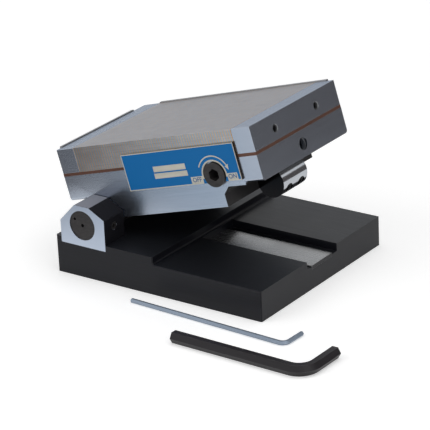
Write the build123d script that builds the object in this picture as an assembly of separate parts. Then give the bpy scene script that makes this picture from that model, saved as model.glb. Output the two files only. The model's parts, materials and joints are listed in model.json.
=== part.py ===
from build123d import *
from math import asin, cos, degrees, pi, radians, sqrt, tan
import os

# Sine magnetic chuck: a permanent magnetic chuck on two rollers, hinged to a base plate.
# Millimetres. Origin at the centre of the base's underside, +X towards the raised end, +Y to the back, +Z up.

# Base plate
base_length = 175.5
base_width = 152.0
floor_height = 22.4
block_height = 28.2
block_length = 84.5
step_fillet = 2.0
base_chamfer = 0.8

# Gauge block slot and its hardened seat strip
slot_width = 38.2
strip_width = 26.0
strip_thickness = 3.0
strip_chamfer = 0.4
groove_drop = 1.2
zero_gap = 11.0

# Rollers and tilt
roller_radius = 11.0
roller_pitch = 125.0
roller_lift = 0.6
sine_roller_length = 29.4
hinge_roller_recess = 0.5
tilt_angle = 16.0
pivot_from_left = 24.5
centre_drill_radius = 1.3
centre_drill_depth = 2.0
spanner_hole_radius = 1.2
spanner_hole_depth = 4.0
spanner_hole_offset = 5.5

# Hinge blocks, sunk into pockets of the base, and their lock screws
hinge_block_length = 39.2
hinge_block_sink = 4.4
hinge_crown = 14.6
left_slope_run = 13.3
left_slope_rise = 13.8
right_slope_run = 13.3
right_slope_rise = 7.2
hinge_chamfer = 0.4
hinge_side_gap = 0.5
lock_screw_radius = 3.0
lock_screw_length = 4.5
lock_key_size = 3.0
lock_socket_depth = 2.7
clamp_pad_gap = 0.1

# Chuck body
chuck_length = 175.0
chuck_width = 105.5
body_height = 18.5
boss_depth = 15.4
ledge_drop = 1.2
foot_length = 15.5
corner_fill = 5.0
foot_round = 2.4
lift_hole_radius = 4.5
lift_hole_depth = 18.0
lift_hole_height = 9.1

# Pole plate
separator_thickness = 2.2
pole_height = 18.0
end_rail_width = 16.0
brass_thickness = 0.6
pole_pitch = 2.2
rail_hole_radius = 2.5
rail_hole_spacing = 50.5
rail_hole_height = 28.5
rail_hole_depth = 13.0
rail_hole_chamfer = 0.5

# Magnet carriage and its cavity
cavity_end_wall = 28.0
cavity_front_wall = 26.0
cavity_back_wall = 13.5
cavity_floor = 7.5
pole_air_gap = 0.2
carriage_front_rail = 8.0
carriage_back_rail = 5.0
carriage_end_rail = 6.0
carriage_floor = 2.0
magnet_cell = 12.0
magnet_share = 2 / 3

# Operating shaft and crank
shaft_from_left = 136.5
shaft_height = 8.6
shaft_head_radius = 8.8
shaft_head_proud = 2.6
shaft_head_depth = 5.0
shaft_journal_radius = 7.0
shaft_spigot_radius = 4.0
shaft_spigot_flat = 3.2
shaft_key_size = 8.0
shaft_socket_depth = 9.0
crank_rim = 0.75
crank_thickness = 4.0
crank_throw = 3.0
crank_pin_radius = 3.0
crank_pin_length = 7.5
stop_pin_radius = 1.0
stop_pin_wall = 0.5
stop_pin_grip = 7.0
stop_clear_angle = 1.0

# Nameplate
nameplate_left = 58.6
nameplate_length = 100.2
nameplate_bottom = 3.1
nameplate_height = 26.7
nameplate_thickness = 1.6
nameplate_shaft_gap = 0.9

# Stop plates
stop_thickness = 2.5
stop_proud = 0.6
stop_raise = 5.0
stop_lower = 1.0
end_stop_front_margin = 7.0
end_stop_back_margin = 13.0
end_stop_bottom = 16.0
back_stop_left_margin = 15.0
back_stop_right_margin = 6.5
back_stop_bottom = 0.6
back_stop_relief_length = 35.0
back_stop_relief_height = 23.0
back_stop_relief_corner = 18.4
back_stop_screw_height = 11.5
back_stop_screw_spacing = 90.0
back_stop_screw_margin = 25.0

# Screws of the sine roller and of the stop plates
roller_screw_radius = 2.5
roller_screw_head_radius = 4.25
roller_screw_head_height = 5.0
roller_screw_socket = 4.0
roller_screw_socket_depth = 2.7
stop_screw_head_radius = 4.6
stop_screw_head_height = 2.8
stop_screw_socket = 3.0
stop_screw_socket_depth = 1.7
screw_engagement = 9.0
head_sink = 0.6
drill_point_angle = 118.0

# Hex keys that work the shaft and the lock screws
large_key_long_arm = 106.0
large_key_short_arm = 36.0
large_key_bend = 12.0
large_key_corner = (71.4, -56.1)
large_key_turn = -1.0
small_key_long_arm = 131.0
small_key_short_arm = 20.0
small_key_bend = 5.0
small_key_corner = (33.7, -22.9)
small_key_turn = -2.4
key_end_chamfer = 0.3

# Clearances
running_gap = 0.05
slide_gap = 0.1
fit_gap = 0.02
thread_gap = 0.05
head_gap = 0.3
blind_gap = 1.0
plate_gap = 0.05

# How far a cutting shape reaches past the solid, and how close an edge lies to be picked
past = 1.0
touch = 0.01

# Places worked out from the sizes above
base_left = -base_length / 2
base_right = base_length / 2
base_front = -base_width / 2
base_back = base_width / 2
block_right = base_left + block_length
slot_left = block_right + step_fillet
pivot_x = base_left + pivot_from_left
pivot_z = block_height + roller_lift + roller_radius
strip_top = pivot_z - roller_radius - zero_gap
strip_bottom = strip_top - strip_thickness
slot_floor = strip_top - groove_drop
hinge_left = pivot_x - hinge_block_length / 2
hinge_right = pivot_x + hinge_block_length / 2
hinge_bottom = block_height - hinge_block_sink
hinge_top = pivot_z + hinge_crown
hinge_depth = (base_width - chuck_width) / 2 - hinge_side_gap
hinge_bore_radius = roller_radius + running_gap
lock_screw_outer = hinge_right - head_gap
lock_screw_inner = lock_screw_outer - lock_screw_length

chuck_front = -chuck_width / 2
chuck_back = chuck_width / 2
roller_inset = (chuck_length - roller_pitch) / 2
roller_height = -(ledge_drop + roller_radius)
boss_left = roller_inset + roller_radius
boss_right = chuck_length - boss_left
pole_bottom = body_height + separator_thickness
work_height = pole_bottom + pole_height
pack_left = end_rail_width
pack_right = chuck_length - end_rail_width

# The crank pin drives the carriage by a cosine, and its slot has room for its lag behind an even travel.
crank_stroke = 2 * crank_throw
lag_angle = asin(2 / pi)
crank_lag = crank_throw * (2 * lag_angle / pi + cos(lag_angle) - 1)
cavity_left = cavity_end_wall
cavity_right = chuck_length - cavity_end_wall + slide_gap
cavity_front = chuck_front + cavity_front_wall
cavity_back = chuck_back - cavity_back_wall
carriage_left = cavity_left + blind_gap
carriage_right = cavity_right - blind_gap - crank_stroke
carriage_front = cavity_front + slide_gap
carriage_back = cavity_back - slide_gap
carriage_bottom = cavity_floor + slide_gap
carriage_top = pole_bottom - pole_air_gap
head_shoulder = chuck_front + shaft_head_depth
journal_bore_radius = shaft_journal_radius + running_gap
stop_pin_orbit = journal_bore_radius + stop_pin_wall + stop_pin_radius
crank_radius = stop_pin_orbit + crank_rim
crank_back = cavity_front - slide_gap
crank_front = crank_back - crank_thickness
crank_pocket_front = crank_front - slide_gap
crank_pocket_radius = crank_radius + head_gap
crank_pin_end = crank_back + crank_pin_length
stop_pin_start = crank_pocket_front - stop_pin_grip
stop_pin_length = crank_back - stop_pin_start
stop_screw_radius = rail_hole_radius - thread_gap
stop_screw_length = stop_thickness + screw_engagement

# From the level chuck, measured from its left end and the feet's underside, to its tilted place on the hinge
on_hinge = Pos(pivot_x, 0, pivot_z) * Rot(0, -tilt_angle, 0) * Pos(-roller_inset, 0, -roller_height)


def block(x0, x1, y0, y1, z0, z1):
    return Pos((x0 + x1) / 2, (y0 + y1) / 2, (z0 + z1) / 2) * Box(x1 - x0, y1 - y0, z1 - z0)


def rod(radius, start, direction, length):
    base = (Align.CENTER, Align.CENTER, Align.MIN)
    return Plane(origin=start, z_dir=direction) * Cylinder(radius, length, align=base)


def cone(radius_start, radius_end, start, direction, length):
    base = (Align.CENTER, Align.CENTER, Align.MIN)
    return Plane(origin=start, z_dir=direction) * Cone(radius_start, radius_end, length, align=base)


def blind_hole(radius, mouth, direction, depth):
    # A drilled hole: straight to its depth, then the drill's point.
    point = radius / tan(radians(drill_point_angle / 2))
    bottom = along(mouth, direction, depth)
    return rod(radius, mouth, direction, depth) + cone(radius, 0, bottom, direction, point)


def hex_bar(size, start, direction, length):
    section = RegularPolygon(size / 2, 6, major_radius=False)
    return Plane(origin=start, z_dir=direction) * extrude(section, length)


def along(start, direction, distance):
    return Vector(*start) + Vector(*direction).normalized() * distance


def group(pieces):
    return Compound(children=list(pieces))


def save(name, shape):
    shape.label = name
    export_step(shape, f"parts/{name}.step")


# Base plate, gauge strip and hinge blocks

def hinge_places():
    # Both sides of the base: the outward face of the hinge block and the way into its depth.
    return [(base_front, 1), (base_back, -1)]


def make_base_plate():
    plate = block(base_left, base_right, base_front, base_back, 0, floor_height)
    plate += block(base_left, block_right, base_front, base_back, floor_height, block_height)
    low = plate.edges().filter_by_position(Axis.Z, floor_height - touch, floor_height + touch)
    plate = fillet(low.filter_by_position(Axis.X, block_right - touch, block_right + touch), step_fillet)
    plate = chamfer(plate.edges().filter_by(Axis.Z), base_chamfer)
    end = base_right + past
    plate -= block(slot_left, end, -slot_width / 2, slot_width / 2, slot_floor, block_height + past)
    plate -= block(slot_left, end, -strip_width / 2, strip_width / 2, strip_bottom, floor_height)
    for face, inward in hinge_places():
        near, far = sorted((face - inward * past, face + inward * (hinge_depth + fit_gap)))
        left = hinge_left - fit_gap
        right = hinge_right + fit_gap
        plate -= block(left, right, near, far, hinge_bottom, block_height + past)
    return plate


def make_gauge_strip():
    half = strip_width / 2 - fit_gap
    strip = block(slot_left + fit_gap, base_right, -half, half, strip_bottom, strip_top)
    return chamfer(strip.edges().group_by(Axis.Z)[-1].filter_by(Axis.X), strip_chamfer)


def roller_bore(face, inward):
    start = (pivot_x, face - inward * past, pivot_z)
    return rod(hinge_bore_radius, start, (0, inward, 0), hinge_depth + 2 * past)


def make_hinge_block(face, inward):
    outline = Polyline(
        (hinge_left, hinge_bottom),
        (hinge_right, hinge_bottom),
        (hinge_right, hinge_top - right_slope_rise),
        (hinge_right - right_slope_run, hinge_top),
        (hinge_left + left_slope_run, hinge_top),
        (hinge_left, hinge_top - left_slope_rise),
        close=True,
    )
    solid = extrude(Plane.XZ * make_face(outline), -hinge_depth)
    solid = Pos(0, min(face, face + inward * hinge_depth), 0) * solid
    solid = chamfer(solid.edges().filter_by(Axis.Y), hinge_chamfer)
    solid -= roller_bore(face, inward)
    middle = (pivot_x, face + inward * hinge_depth / 2, pivot_z)
    return solid - rod(lock_screw_radius + thread_gap, middle, (1, 0, 0), hinge_block_length)


def make_lock_screw(face, inward):
    # A set screw with a hex socket, turned by the small key.
    tip = (lock_screw_inner, face + inward * hinge_depth / 2, pivot_z)
    screw = rod(lock_screw_radius, tip, (1, 0, 0), lock_screw_length)
    mouth = along(tip, (1, 0, 0), lock_screw_length)
    return screw - hex_bar(lock_key_size, mouth, (-1, 0, 0), lock_socket_depth)


def make_clamp_pad(face, inward):
    # A slug between the lock screw and the hinge roller, hollowed to the roller's radius.
    start = (pivot_x, face + inward * hinge_depth / 2, pivot_z)
    pad = rod(lock_screw_radius, start, (1, 0, 0), lock_screw_inner - clamp_pad_gap - pivot_x)
    return pad - roller_bore(face, inward)


def make_clamp_pads():
    return group(make_clamp_pad(face, inward) for face, inward in hinge_places())


# Chuck body and what it stands on, level

diagonal = sqrt(0.5)
into_corner = (-diagonal, 0, diagonal)
out_of_corner = (diagonal, 0, -diagonal)
sine_roller_x = chuck_length - roller_inset
roller_to_fill = (2 * roller_radius - corner_fill) * diagonal
roller_seat_back = roller_radius - roller_screw_head_height - head_sink
roller_screw_length = roller_seat_back + roller_to_fill + screw_engagement


def roller_screw_seats():
    rows = (-sine_roller_length / 4, sine_roller_length / 4)
    return [along((sine_roller_x, y, roller_height), out_of_corner, roller_seat_back) for y in rows]


def back_stop_screw_places():
    last = chuck_length - back_stop_screw_margin
    return [last, last - back_stop_screw_spacing]


def shaft_rod(radius, y0, y1):
    return rod(radius, (shaft_from_left, y0, shaft_height), (0, 1, 0), y1 - y0)


def stop_pin(radius):
    start = (shaft_from_left, stop_pin_start, shaft_height - stop_pin_orbit)
    return rod(radius, start, (0, 1, 0), stop_pin_length)


def sine_profile():
    # Seen from the front: feet at both ends, ledges and square corners for the rollers, and the boss between.
    right = [
        (boss_right, -boss_depth),
        (boss_right, -ledge_drop - corner_fill),
        (boss_right + corner_fill, -ledge_drop),
        (chuck_length - foot_length, -ledge_drop),
        (chuck_length - foot_length, 0),
        (chuck_length, 0),
        (chuck_length, body_height),
    ]
    left = [(chuck_length - x, z) for x, z in reversed(right)]
    return make_face(Polyline(*right, *left, close=True))


def make_chuck_body():
    body = extrude(Plane.XZ * sine_profile(), chuck_width / 2, both=True)
    body = fillet(body.edges().filter_by(Axis.X).filter_by_position(Axis.Z, -touch, touch), foot_round)
    body -= block(cavity_left, cavity_right, cavity_front, cavity_back, cavity_floor, body_height + past)
    body -= shaft_rod(crank_pocket_radius, crank_pocket_front, crank_pin_end + slide_gap)
    body -= shaft_rod(shaft_head_radius + running_gap, chuck_front - past, head_shoulder)
    body -= shaft_rod(journal_bore_radius, chuck_front, crank_front)
    body -= stop_pin(stop_pin_radius + fit_gap)
    body -= blind_hole(lift_hole_radius, (chuck_length, 0, lift_hole_height), (-1, 0, 0), lift_hole_depth)
    for seat in roller_screw_seats():
        body -= rod(roller_screw_radius + thread_gap, seat, into_corner, roller_screw_length + blind_gap)
    for x in back_stop_screw_places():
        mouth = (x, chuck_back + past, back_stop_screw_height)
        body -= rod(rail_hole_radius, mouth, (0, -1, 0), screw_engagement + blind_gap + past)
    return body


def make_separator_frame():
    sheet = block(0, chuck_length, chuck_front, chuck_back, body_height, pole_bottom)
    low, high = body_height - past, pole_bottom + past
    sheet -= block(cavity_left, cavity_right, cavity_front, cavity_back, low, high)
    sheet -= shaft_rod(crank_pocket_radius, crank_pocket_front, cavity_front)
    return sheet - shaft_rod(shaft_head_radius + running_gap, chuck_front - past, head_shoulder)


def rail_hole_mouths(end_face):
    return [(end_face, side * rail_hole_spacing / 2, rail_hole_height) for side in (-1, 1)]


def make_end_rail(left, end_face, inward):
    rail = block(left, left + end_rail_width, chuck_front, chuck_back, pole_bottom, work_height)
    for mouth in rail_hole_mouths(end_face):
        rail -= blind_hole(rail_hole_radius, mouth, (inward, 0, 0), rail_hole_depth)
    return rail


def make_right_end_rail():
    rail = make_end_rail(pack_right, chuck_length, -1)
    wide = rail_hole_radius + rail_hole_chamfer
    for mouth in rail_hole_mouths(chuck_length):
        rail -= cone(wide, rail_hole_radius, mouth, (-1, 0, 0), rail_hole_chamfer)
    return rail


def pole_pack():
    # Steel bars with brass between them, brass first and last, filling the room between the end rails.
    span = pack_right - pack_left
    count = max(1, round((span - brass_thickness) / pole_pitch))
    steel = (span - brass_thickness * (count + 1)) / count
    return count, steel


def pole_slice(left, thickness):
    return block(left, left + thickness, chuck_front, chuck_back, pole_bottom, work_height)


def make_steel_pole_bars():
    count, steel = pole_pack()
    first = pack_left + brass_thickness
    return group(pole_slice(first + i * (steel + brass_thickness), steel) for i in range(count))


def make_brass_pole_spacers():
    count, steel = pole_pack()
    step = steel + brass_thickness
    return group(pole_slice(pack_left + i * step, brass_thickness) for i in range(count + 1))


def make_roller(x, half_length):
    return rod(roller_radius, (x, -half_length, roller_height), (0, 1, 0), 2 * half_length)


def make_hinge_roller():
    # Centre-drilled at both ends, with a spanner hole in the front one.
    half_length = base_width / 2 - hinge_roller_recess
    roller = make_roller(roller_inset, half_length)
    for side in (-1, 1):
        centre = (roller_inset, side * half_length, roller_height)
        roller -= cone(centre_drill_radius, 0, centre, (0, -side, 0), centre_drill_depth)
    spanner = (roller_inset - spanner_hole_offset, -half_length, roller_height + spanner_hole_offset)
    return roller - rod(spanner_hole_radius, spanner, (0, 1, 0), spanner_hole_depth)


def make_sine_roller():
    roller = make_roller(sine_roller_x, sine_roller_length / 2)
    for seat in roller_screw_seats():
        roller -= rod(roller_screw_radius + thread_gap, seat, into_corner, 2 * roller_radius)
        roller -= rod(roller_screw_head_radius + head_gap, seat, out_of_corner, roller_radius)
    return roller


def make_roller_screw(seat):
    screw = rod(roller_screw_radius, seat, into_corner, roller_screw_length)
    screw += rod(roller_screw_head_radius, seat, out_of_corner, roller_screw_head_height)
    top = along(seat, out_of_corner, roller_screw_head_height)
    return screw - hex_bar(roller_screw_socket, top, into_corner, roller_screw_socket_depth)


def make_sine_roller_screws():
    return group(make_roller_screw(seat) for seat in roller_screw_seats())


def make_nameplate():
    right = nameplate_left + nameplate_length
    top = nameplate_bottom + nameplate_height
    outer = chuck_front - nameplate_thickness
    plate = block(nameplate_left, right, outer, chuck_front, nameplate_bottom, top)
    return plate - shaft_rod(shaft_head_radius + nameplate_shaft_gap, outer - past, chuck_front + past)


# Operating shaft and crank, at the off position

def spigot_section(gap, y0, y1):
    # Round with a flat on the left, for the shaft's inner end and the hole of the crank disc.
    spigot = shaft_rod(shaft_spigot_radius + gap, y0, y1)
    flat = shaft_from_left - shaft_spigot_flat - gap
    left = shaft_from_left - 2 * shaft_spigot_radius
    low = shaft_height - 2 * shaft_spigot_radius
    high = shaft_height + 2 * shaft_spigot_radius
    return spigot - block(left, flat, y0 - past, y1 + past, low, high)


def make_operating_shaft():
    front = chuck_front - shaft_head_proud
    shaft = shaft_rod(shaft_head_radius, front, head_shoulder - slide_gap)
    shaft += shaft_rod(shaft_journal_radius, head_shoulder - slide_gap, crank_front)
    shaft += spigot_section(0, crank_front, crank_back)
    mouth = (shaft_from_left, front, shaft_height)
    return shaft - hex_bar(shaft_key_size, mouth, (0, 1, 0), shaft_socket_depth)


def make_crank_disc():
    # A disc with an eccentric pin, cut back over half its rim to stop against the fixed pin at both ends.
    disc = shaft_rod(crank_radius, crank_front, crank_back)
    disc -= spigot_section(fit_gap, crank_front - past, crank_back + past)
    reach = degrees(asin(stop_pin_radius / stop_pin_orbit)) + stop_clear_angle
    far = 2 * crank_radius
    cut = block(0, far, -far, far, 0, crank_thickness + 2 * past)
    rim = Plane(origin=(shaft_from_left, crank_back + past, shaft_height), x_dir=(1, 0, 0), z_dir=(0, -1, 0))
    half = rim * Rot(0, 0, reach) * cut + rim * Rot(0, 0, -reach) * cut
    inner = stop_pin_orbit - stop_pin_radius - slide_gap
    disc -= half - shaft_rod(inner, crank_front - 2 * past, crank_back + 2 * past)
    pin_start = (shaft_from_left - crank_throw, crank_back, shaft_height)
    return disc + rod(crank_pin_radius, pin_start, (0, 1, 0), crank_pin_length)


def make_shaft_stop_pin():
    return stop_pin(stop_pin_radius)


# Magnet carriage, at the off position

def carriage_window():
    left = carriage_left + carriage_end_rail
    right = carriage_right - carriage_end_rail
    return left, right, carriage_front + carriage_front_rail, carriage_back - carriage_back_rail


def make_carriage_frame():
    frame = block(carriage_left, carriage_right, carriage_front, carriage_back, carriage_bottom, carriage_top)
    left, right, front, back = carriage_window()
    frame -= block(left, right, front, back, carriage_bottom + carriage_floor, carriage_top + past)
    pin_x = shaft_from_left - crank_throw
    half = crank_pin_radius + crank_lag + slide_gap
    slot_top = shaft_height + crank_throw + crank_pin_radius + head_gap
    slot_back = crank_pin_end + slide_gap
    slot_bottom = carriage_bottom - past
    return frame - block(pin_x - half, pin_x + half, carriage_front - past, slot_back, slot_bottom, slot_top)


def magnet_cells():
    left, right, front, back = carriage_window()
    count = max(1, round((right - left) / magnet_cell))
    return [left + (right - left) * i / count for i in range(count)], (right - left) / count


def carriage_bar(x0, x1):
    front, back = carriage_window()[2:]
    return block(x0, x1, front + fit_gap, back - fit_gap, carriage_bottom + carriage_floor, carriage_top)


def make_carriage_magnets():
    starts, cell = magnet_cells()
    return group(carriage_bar(x, x + cell * magnet_share) for x in starts)


def make_carriage_pole_bars():
    starts, cell = magnet_cells()
    return group(carriage_bar(x + cell * magnet_share, x + cell) for x in starts)


# Stop plates and their screws

def stop_slot(start, direction, reach):
    # A round-ended upright slot that lets the plate ride up and down on a fixed screw.
    radius = stop_screw_radius + slide_gap
    across = Vector(*direction).cross(Vector(0, 0, 1)) * radius
    low = Vector(*start) - Vector(0, 0, stop_raise)
    high = Vector(*start) + Vector(0, 0, stop_lower)
    near = low - across
    far = high + across + Vector(*direction) * reach
    sides = [sorted(pair) for pair in zip(near, far)]
    straight = block(*sides[0], *sides[1], *sides[2])
    return straight + rod(radius, low, direction, reach) + rod(radius, high, direction, reach)


def make_stop_screw(seat, direction):
    back = Vector(*direction) * -1
    screw = rod(stop_screw_radius, seat, direction, stop_screw_length)
    screw += rod(stop_screw_head_radius, seat, back, stop_screw_head_height)
    top = along(seat, back, stop_screw_head_height)
    return screw - hex_bar(stop_screw_socket, top, direction, stop_screw_socket_depth)


def make_end_stop_plate():
    front = chuck_front + end_stop_front_margin
    back = chuck_back - end_stop_back_margin
    plate = block(-stop_thickness, -plate_gap, front, back, end_stop_bottom, work_height + stop_proud)
    for start in rail_hole_mouths(-2 * stop_thickness):
        plate -= stop_slot(start, (1, 0, 0), 3 * stop_thickness)
    return plate


def make_end_stop_screws():
    seats = rail_hole_mouths(-stop_thickness - plate_gap)
    return group(make_stop_screw(seat, (1, 0, 0)) for seat in seats)


def make_back_stop_plate():
    # Cut away at the lower left, where the rear hinge block stands.
    low = back_stop_bottom
    top = work_height + stop_proud
    relief = back_stop_left_margin + back_stop_relief_length
    relief_top = low + back_stop_relief_height
    right = chuck_length - back_stop_right_margin
    outline = Polyline(
        (back_stop_left_margin, top),
        (back_stop_left_margin, relief_top),
        (relief - back_stop_relief_corner, relief_top),
        (relief, relief_top - back_stop_relief_corner),
        (relief, low),
        (right, low),
        (right, top),
        close=True,
    )
    plate = extrude(Plane.XZ * make_face(outline), plate_gap - stop_thickness)
    plate = Pos(0, chuck_back + plate_gap, 0) * plate
    for x in back_stop_screw_places():
        start = (x, chuck_back - stop_thickness, back_stop_screw_height)
        plate -= stop_slot(start, (0, 1, 0), 3 * stop_thickness)
    return plate


def make_back_stop_screws():
    y = chuck_back + stop_thickness + plate_gap
    seats = [(x, y, back_stop_screw_height) for x in back_stop_screw_places()]
    return group(make_stop_screw(seat, (0, -1, 0)) for seat in seats)


# Hex keys, lying on the surface that the base stands on

def make_hex_key(size, long_arm, short_arm, bend, corner, turn):
    # The bend's outer corner stands out to the right of the base's right front corner by the given distances.
    path = FilletPolyline((-long_arm, 0), (0, 0), (0, short_arm), radius=bend)
    section = Plane(origin=(-long_arm, 0, 0), x_dir=(0, 1, 0), z_dir=(1, 0, 0))
    key = sweep(section * RegularPolygon(size / 2, 6, major_radius=False), path=path)
    ends = key.edges().filter_by(GeomType.LINE).filter_by(lambda edge: edge.length < size)
    key = chamfer(ends, key_end_chamfer)
    return Pos(base_right + corner[0], base_front + corner[1], size / 2) * Rot(0, 0, turn) * key


large_key = (shaft_key_size - 2 * slide_gap, large_key_long_arm, large_key_short_arm, large_key_bend)
small_key = (lock_key_size - slide_gap, small_key_long_arm, small_key_short_arm, small_key_bend)

os.makedirs("parts", exist_ok=True)

fixed_parts = {
    "base_plate": make_base_plate(),
    "gauge_strip": make_gauge_strip(),
    "front_hinge_block": make_hinge_block(base_front, 1),
    "rear_hinge_block": make_hinge_block(base_back, -1),
    "front_lock_screw": make_lock_screw(base_front, 1),
    "rear_lock_screw": make_lock_screw(base_back, -1),
    "clamp_pads": make_clamp_pads(),
    "large_hex_key": make_hex_key(*large_key, large_key_corner, large_key_turn),
    "small_hex_key": make_hex_key(*small_key, small_key_corner, small_key_turn),
}

tilted_parts = {
    "chuck_body": make_chuck_body(),
    "separator_frame": make_separator_frame(),
    "left_end_rail": make_end_rail(0, 0, 1),
    "right_end_rail": make_right_end_rail(),
    "steel_pole_bars": make_steel_pole_bars(),
    "brass_pole_spacers": make_brass_pole_spacers(),
    "hinge_roller": make_hinge_roller(),
    "sine_roller": make_sine_roller(),
    "sine_roller_screws": make_sine_roller_screws(),
    "nameplate": make_nameplate(),
    "operating_shaft": make_operating_shaft(),
    "crank_disc": make_crank_disc(),
    "shaft_stop_pin": make_shaft_stop_pin(),
    "carriage_frame": make_carriage_frame(),
    "carriage_magnets": make_carriage_magnets(),
    "carriage_pole_bars": make_carriage_pole_bars(),
    "end_stop_plate": make_end_stop_plate(),
    "end_stop_screws": make_end_stop_screws(),
    "back_stop_plate": make_back_stop_plate(),
    "back_stop_screws": make_back_stop_screws(),
}

for name, shape in fixed_parts.items():
    save(name, shape)
for name, shape in tilted_parts.items():
    save(name, on_hinge * shape)
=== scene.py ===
import json
from math import cos, pi, radians, sin

import bmesh
import bpy
from mathutils import Matrix, Vector


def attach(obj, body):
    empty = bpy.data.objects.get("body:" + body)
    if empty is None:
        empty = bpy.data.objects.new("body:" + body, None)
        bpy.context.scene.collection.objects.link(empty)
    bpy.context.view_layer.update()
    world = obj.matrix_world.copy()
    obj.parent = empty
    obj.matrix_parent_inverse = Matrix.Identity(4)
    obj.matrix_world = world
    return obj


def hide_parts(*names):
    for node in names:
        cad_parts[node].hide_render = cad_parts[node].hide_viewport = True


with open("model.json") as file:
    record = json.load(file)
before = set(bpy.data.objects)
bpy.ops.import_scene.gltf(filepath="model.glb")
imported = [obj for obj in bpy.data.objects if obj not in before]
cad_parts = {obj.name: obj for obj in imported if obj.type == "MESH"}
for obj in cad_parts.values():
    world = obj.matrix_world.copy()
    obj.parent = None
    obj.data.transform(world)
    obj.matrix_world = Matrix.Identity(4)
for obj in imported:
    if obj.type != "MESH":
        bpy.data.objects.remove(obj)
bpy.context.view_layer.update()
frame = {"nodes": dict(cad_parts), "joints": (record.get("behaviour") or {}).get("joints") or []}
nodes = frame["nodes"]
mm = 0.001

# the chuck is drawn level and then tilted with its hinge; the tilt joint's lower limit is the level chuck
tiltJoint = next(j for j in frame["joints"] if j["name"] == "tilt")
pivot = Vector(tiltJoint["pos_m"])
tilt = radians(-tiltJoint["range_deg"][0])
levelToRow = Matrix.Translation(pivot) @ Matrix.Rotation(-tilt, 4, "Y") @ Matrix.Translation(-pivot)
rowToLevel = levelToRow.inverted()


def levelBox(name):
    points = [rowToLevel @ v.co for v in nodes[name].data.vertices]
    return [Vector([pick(p[i] for p in points) for i in range(3)]) for pick in (min, max)]


# camera, as fitted to the photograph's edges
photoView = {
    "eye": (0.9654, -1.3277, 0.7171),
    "yaw": -36.098,
    "pitch": 22.617,
    "roll": 2.702,
    "lens": 208.66,
    "sensor": 36.0,
    "clip": (0.05, 20),
}


def makeCamera():
    yaw, pitch, roll = (radians(photoView[k]) for k in ("yaw", "pitch", "roll"))
    ahead = Vector((sin(yaw) * cos(pitch), cos(yaw) * cos(pitch), -sin(pitch)))
    right = Vector((cos(yaw), -sin(yaw), 0))
    down = ahead.cross(right)
    xAxis = cos(roll) * right + sin(roll) * down
    yAxis = sin(roll) * right - cos(roll) * down
    data = bpy.data.cameras.new("photoCamera")
    data.lens = photoView["lens"]
    data.sensor_width = photoView["sensor"]
    data.clip_start, data.clip_end = photoView["clip"]
    camera = bpy.data.objects.new("photoCamera", data)
    turn = Matrix((xAxis, yAxis, -ahead)).transposed().to_4x4()
    camera.matrix_world = Matrix.Translation(photoView["eye"]) @ turn
    bpy.context.scene.collection.objects.link(camera)
    bpy.context.scene.camera = camera


makeCamera()
print("camera set as in the photograph")


def addNode(tree, kind, settings=(), values=()):
    node = tree.nodes.new(kind)
    for key, value in dict(settings).items():
        setattr(node, key, value)
    for key, value in dict(values).items():
        node.inputs[key].default_value = value
    return node


# studio: pale floor, white surround, soft lamps, and cards that only the polished faces see;
# cards stand upright and face the middle unless they are lying on the floor
studio = {
    "aim": (0, 0, 0.06),
    "floorSize": 6.0,
    "floorDrop": 0.1 * mm,
    "floorColor": (0.82, 0.82, 0.82),
    "floorGlow": {"near": 0.42, "far": 0.70, "from": 0.5, "to": 1.8},
    "skyLight": 0.4,
    "lamps": {
        "frontBox": {"at": (-0.9, -1.3, 1.3), "size": 1.1, "watts": 8, "mirrored": False},
        "topBox": {"at": (0.2, 0.2, 1.7), "size": 1.5, "watts": 9, "mirrored": False},
        "sideBox": {"at": (1.5, -0.6, 0.9), "size": 0.8, "watts": 2, "mirrored": True},
    },
    "cards": {
        "lowRightCard": {
            "at": (0.44, 0.42, 0.12), "size": (1.1, 0.24), "lying": False, "color": (0.136, 0.124, 0.122),
        },
        "highRightCard": {
            "at": (0.44, 0.42, 0.56), "size": (1.1, 0.4), "lying": False, "color": (0.091, 0.086, 0.085),
        },
        "topRightCard": {
            "at": (0.44, 0.42, 1.16), "size": (1.1, 0.8), "lying": False, "color": (0.36, 0.36, 0.37),
        },
        "backLeftCard": {
            "at": (-0.85, 0.80, 0.2), "size": (1.4, 0.5), "lying": False, "color": (0.44, 0.48, 0.54),
        },
        "frontLeftCard": {
            "at": (-0.56, -0.03, 0.002), "size": (0.8, 0.25), "lying": True, "color": (0.20, 0.19, 0.19),
        },
        "frontCard": {
            "at": (-0.325, -0.45, 0.002), "size": (1.25, 0.59), "lying": True, "across": (1.0, -0.9, 0.0),
            "fade": [
                (-0.02, (0.20, 0.19, 0.19)), (0.02, (0.26, 0.26, 0.27)), (0.05, (0.45, 0.52, 0.58)),
                (0.10, (0.53, 0.65, 0.75)), (0.18, (0.62, 0.75, 0.89)),
            ],
        },
    },
}


def seenRays(tree):
    # 1 where the camera, a reflection or a refraction looks, 0 where the surface gives light
    paths = addNode(tree, "ShaderNodeLightPath")
    total = paths.outputs["Is Camera Ray"]
    for name in ("Is Glossy Ray", "Is Transmission Ray"):
        higher = addNode(tree, "ShaderNodeMath", {"operation": "MAXIMUM"})
        tree.links.new(total, higher.inputs[0])
        tree.links.new(paths.outputs[name], higher.inputs[1])
        total = higher.outputs[0]
    return total


def makePlane(name, width, height, matrix):
    x, y = width / 2, height / 2
    mesh = bpy.data.meshes.new(name)
    mesh.from_pydata([(-x, -y, 0), (x, -y, 0), (x, y, 0), (-x, y, 0)], [], [(0, 1, 2, 3)])
    mesh.transform(matrix)
    plane = bpy.data.objects.new(name, mesh)
    bpy.context.scene.collection.objects.link(plane)
    return plane


def bareMaterial(name):
    material = bpy.data.materials.new(name)
    material.use_nodes = True
    material.node_tree.nodes.remove(material.node_tree.nodes["Principled BSDF"])
    return material


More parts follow.
